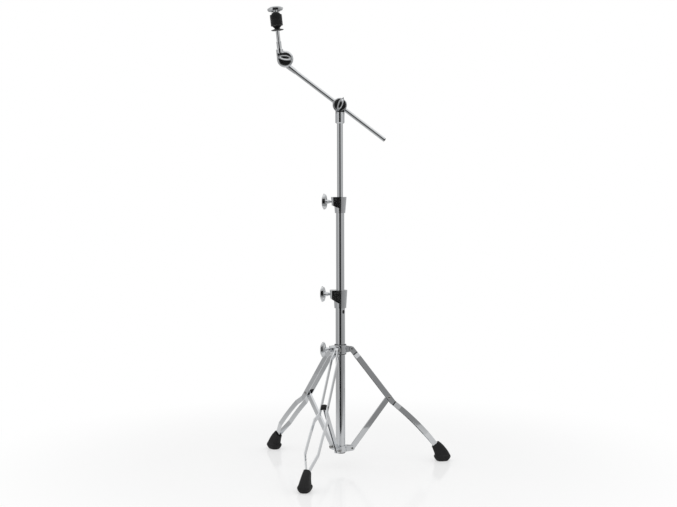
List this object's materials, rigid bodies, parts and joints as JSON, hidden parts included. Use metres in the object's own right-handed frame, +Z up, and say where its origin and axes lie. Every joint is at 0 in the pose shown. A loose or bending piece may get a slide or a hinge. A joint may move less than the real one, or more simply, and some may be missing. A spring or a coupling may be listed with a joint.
{
  "type": "cymbal stand",
  "caption": "Folding tripod stand for a cymbal, with telescoping chrome tubes, a sliding boom arm, two tilters and black felts on top.",
  "frame": {"origin": "on the axis of the tubes, level with the soles of the feet", "axes": "+Z up along the tubes; the boom rises towards -X; the tilter wing nuts face -Y; one leg stands 9 degrees from +X"},
  "size_m": [0.5093, 0.5371, 1.232],
  "materials": {
    "chrome_tube": "bright plated steel tube and rod",
    "chrome_strip": "bright plated flat steel strip",
    "chrome_casting": "bright plated die casting",
    "chrome_wing": "bright plated cast wings",
    "steel_rivet": "plated steel rivets and bolts",
    "black_nylon": "moulded nylon",
    "black_rubber": "moulded rubber, matt",
    "black_felt": "pressed wool felt",
    "black_cap": "satin black moulded caps"
  },
  "bodies": {
    "base": {"lower_tube": "chrome_tube", "tube_plug": "black_rubber", "leg_bracket": "chrome_casting", "bracket_pins": "steel_rivet", "lower_clamp": "chrome_casting", "lower_bushing": "black_nylon"},
    "brace_1": {"brace_1": "chrome_strip", "brace_1_insert": "black_nylon"},
    "leg_1": {"leg_1_strips": "chrome_strip", "leg_1_foot": "black_rubber", "leg_1_rivet": "steel_rivet", "leg_1_spacers": "black_nylon"},
    "collar": {"leg_collar": "chrome_casting", "collar_liner": "black_nylon", "collar_pins": "steel_rivet"},
    "leg_2": {"leg_2_strips": "chrome_strip", "leg_2_foot": "black_rubber", "leg_2_rivet": "steel_rivet", "leg_2_spacers": "black_nylon"},
    "brace_2": {"brace_2": "chrome_strip", "brace_2_insert": "black_nylon"},
    "leg_3": {"leg_3_strips": "chrome_strip", "leg_3_foot": "black_rubber", "leg_3_rivet": "steel_rivet", "leg_3_spacers": "black_nylon"},
    "brace_3": {"brace_3": "chrome_strip", "brace_3_insert": "black_nylon"},
    "collar_pad": {"collar_pad": "black_nylon"},
    "collar_bolt": {"collar_wing_bolt": "chrome_wing"},
    "lower_pad": {"lower_pad": "black_nylon"},
    "lower_bolt": {"lower_wing_bolt": "chrome_wing"},
    "middle_glide": {"middle_glide": "black_nylon"},
    "middle_tube": {"middle_tube": "chrome_tube", "upper_clamp": "chrome_casting", "upper_bushing": "black_nylon"},
    "upper_pad": {"upper_pad": "black_nylon"},
    "upper_bolt": {"upper_wing_bolt": "chrome_wing"},
    "upper_glide": {"upper_glide": "black_nylon"},
    "upper_tube": {"upper_tube": "chrome_tube", "boom_socket": "chrome_casting"},
    "boom_clamp": {"boom_clamp": "chrome_casting", "boom_eye_bolt": "steel_rivet"},
    "boom_cap": {"boom_pressure_cap": "black_cap"},
    "boom_nut": {"boom_wing_nut": "chrome_wing"},
    "boom_liner": {"boom_liner": "black_nylon"},
    "boom": {"boom_rod": "chrome_tube", "boom_end_plug": "black_rubber", "tilter_base": "chrome_casting", "tilter_bolt": "steel_rivet", "tilter_brake": "black_nylon"},
    "tilter_arm": {"tilter_arm": "chrome_casting", "cymbal_rod": "chrome_tube", "cymbal_seat": "black_cap", "lower_felt": "black_felt", "upper_felt": "black_felt"},
    "tilter_cap": {"tilter_pressure_cap": "black_cap"},
    "tilter_nut": {"tilter_wing_nut": "chrome_wing"},
    "nut_dome": {"nut_dome": "black_cap"},
    "top_nut": {"top_wing_nut": "chrome_wing"}
  },
  "joints": [
    {"name": "leg_fold", "type": "hinge", "parent": "base", "child": "brace_1", "pos_m": [0.03062, 0.00485, 0.048], "axis": [0.1564, -0.9877, 0], "range_deg": [-7, 35]},
    {"name": "leg_1_knee", "type": "hinge", "parent": "brace_1", "child": "leg_1", "pos_m": [0.13267, 0.02101, 0.183], "axis": [0.1564, -0.9877, 0], "range_deg": [-70, 14]},
    {"name": "collar_hinge", "type": "hinge", "parent": "leg_1", "child": "collar", "pos_m": [0.03062, 0.00485, 0.318], "axis": [0.1564, -0.9877, 0], "range_deg": [-7, 35]},
    {"name": "leg_2_hinge", "type": "hinge", "parent": "collar", "child": "leg_2", "pos_m": [-0.01951, 0.02409, 0.318], "axis": [0.7771, 0.6293, 0], "range_deg": [-35, 7]},
    {"name": "brace_2_hinge", "type": "hinge", "parent": "leg_2", "child": "brace_2", "pos_m": [-0.08453, 0.10439, 0.183], "axis": [0.7771, 0.6293, 0], "range_deg": [-14, 70]},
    {"name": "leg_3_hinge", "type": "hinge", "parent": "collar", "child": "leg_3", "pos_m": [-0.01111, -0.02894, 0.318], "axis": [-0.9336, 0.3584, 0], "range_deg": [-35, 7]},
    {"name": "brace_3_hinge", "type": "hinge", "parent": "leg_3", "child": "brace_3", "pos_m": [-0.04814, -0.1254, 0.183], "axis": [-0.9336, 0.3584, 0], "range_deg": [-14, 70]},
    {"name": "collar_wing_turn", "type": "hinge", "parent": "collar_pad", "child": "collar_bolt", "pos_m": [-0.03852, -0.0061, 0.318], "axis": [-0.9877, -0.1564, 0], "range_deg": [0, 720]},
    {"name": "collar_press_travel", "type": "slide", "parent": "collar", "child": "collar_pad", "axis": [-0.9877, -0.1564, 0], "range_m": [0, 0.0025]},
    {"name": "lower_wing_turn", "type": "hinge", "parent": "lower_pad", "child": "lower_bolt", "pos_m": [-0.03875, 0.00203, 0.467], "axis": [-0.9986, 0.0523, 0], "range_deg": [0, 720]},
    {"name": "lower_press_travel", "type": "slide", "parent": "base", "child": "lower_pad", "axis": [-0.9986, 0.0523, 0], "range_m": [0, 0.0025]},
    {"name": "middle_slide", "type": "slide", "parent": "base", "child": "middle_glide", "axis": [0, 0, 1], "range_m": [-0.205, 0.145]},
    {"name": "middle_swivel", "type": "hinge", "parent": "middle_glide", "child": "middle_tube", "pos_m": [0, 0, 0.262], "axis": [0, 0, 1], "continuous": true},
    {"name": "upper_wing_turn", "type": "hinge", "parent": "upper_pad", "child": "upper_bolt", "pos_m": [-0.03375, 0.00177, 0.7153], "axis": [-0.9986, 0.0523, 0], "range_deg": [0, 720]},
    {"name": "upper_press_travel", "type": "slide", "parent": "middle_tube", "child": "upper_pad", "axis": [-0.9986, 0.0523, 0], "range_m": [0, 0.002]},
    {"name": "upper_slide", "type": "slide", "parent": "middle_tube", "child": "upper_glide", "axis": [0, 0, 1], "range_m": [-0.194, 0.18]},
    {"name": "upper_swivel", "type": "hinge", "parent": "upper_glide", "child": "upper_tube", "pos_m": [0, 0, 0.484], "axis": [0, 0, 1], "continuous": true},
    {"name": "boom_tilt", "type": "hinge", "parent": "upper_tube", "child": "boom_clamp", "pos_m": [0, 0, 0.9731], "axis": [0, 1, 0], "range_deg": [-80, 52]},
    {"name": "boom_wing_turn", "type": "hinge", "parent": "boom_cap", "child": "boom_nut", "pos_m": [0, -0.01215, 0.9731], "axis": [0, -1, 0], "range_deg": [0, 720]},
    {"name": "boom_press_travel", "type": "slide", "parent": "boom_clamp", "child": "boom_cap", "axis": [0, -1, 0], "range_m": [0, 0.0025]},
    {"name": "boom_twist", "type": "hinge", "parent": "boom_clamp", "child": "boom_liner", "pos_m": [0, 0.0185, 0.9731], "axis": [-0.7965, 0, 0.6046], "continuous": true},
    {"name": "boom_slide", "type": "slide", "parent": "boom_liner", "child": "boom", "axis": [-0.7965, 0, 0.6046], "range_m": [-0.12, 0.13]},
    {"name": "cymbal_tilt", "type": "hinge", "parent": "boom", "child": "tilter_arm", "pos_m": [-0.14529, 0, 1.0938], "axis": [0, 1, 0], "range_deg": [-95, 90]},
    {"name": "tilter_wing_turn", "type": "hinge", "parent": "tilter_cap", "child": "tilter_nut", "pos_m": [-0.14529, -0.01235, 1.0938], "axis": [0, -1, 0], "range_deg": [0, 720]},
    {"name": "tilter_press_travel", "type": "slide", "parent": "boom", "child": "tilter_cap", "axis": [0, -1, 0], "range_m": [0, 0.0025]},
    {"name": "top_wing_turn", "type": "hinge", "parent": "nut_dome", "child": "top_nut", "pos_m": [-0.17025, 0, 1.21651], "axis": [-0.1045, 0, 0.9945], "range_deg": [0, 720]},
    {"name": "top_press_travel", "type": "slide", "parent": "tilter_arm", "child": "nut_dome", "axis": [-0.1045, 0, 0.9945], "range_m": [0, 0.0025]}
  ],
  "couplings": [
    {"joint": "leg_1_knee", "follows": "leg_fold", "ratio": -2},
    {"joint": "collar_hinge", "follows": "leg_fold", "ratio": 1},
    {"joint": "leg_2_hinge", "follows": "leg_fold", "ratio": -1},
    {"joint": "brace_2_hinge", "follows": "leg_fold", "ratio": 2},
    {"joint": "leg_3_hinge", "follows": "leg_fold", "ratio": -1},
    {"joint": "brace_3_hinge", "follows": "leg_fold", "ratio": 2},
    {"joint": "collar_wing_turn", "follows": "collar_press_travel", "rad_per_m": 5026.5},
    {"joint": "lower_wing_turn", "follows": "lower_press_travel", "rad_per_m": 5026.5},
    {"joint": "upper_wing_turn", "follows": "upper_press_travel", "rad_per_m": 6283.2},
    {"joint": "boom_wing_turn", "follows": "boom_press_travel", "rad_per_m": 5026.5},
    {"joint": "tilter_wing_turn", "follows": "tilter_press_travel", "rad_per_m": 5026.5},
    {"joint": "top_wing_turn", "follows": "top_press_travel", "rad_per_m": 5026.5}
  ]
}
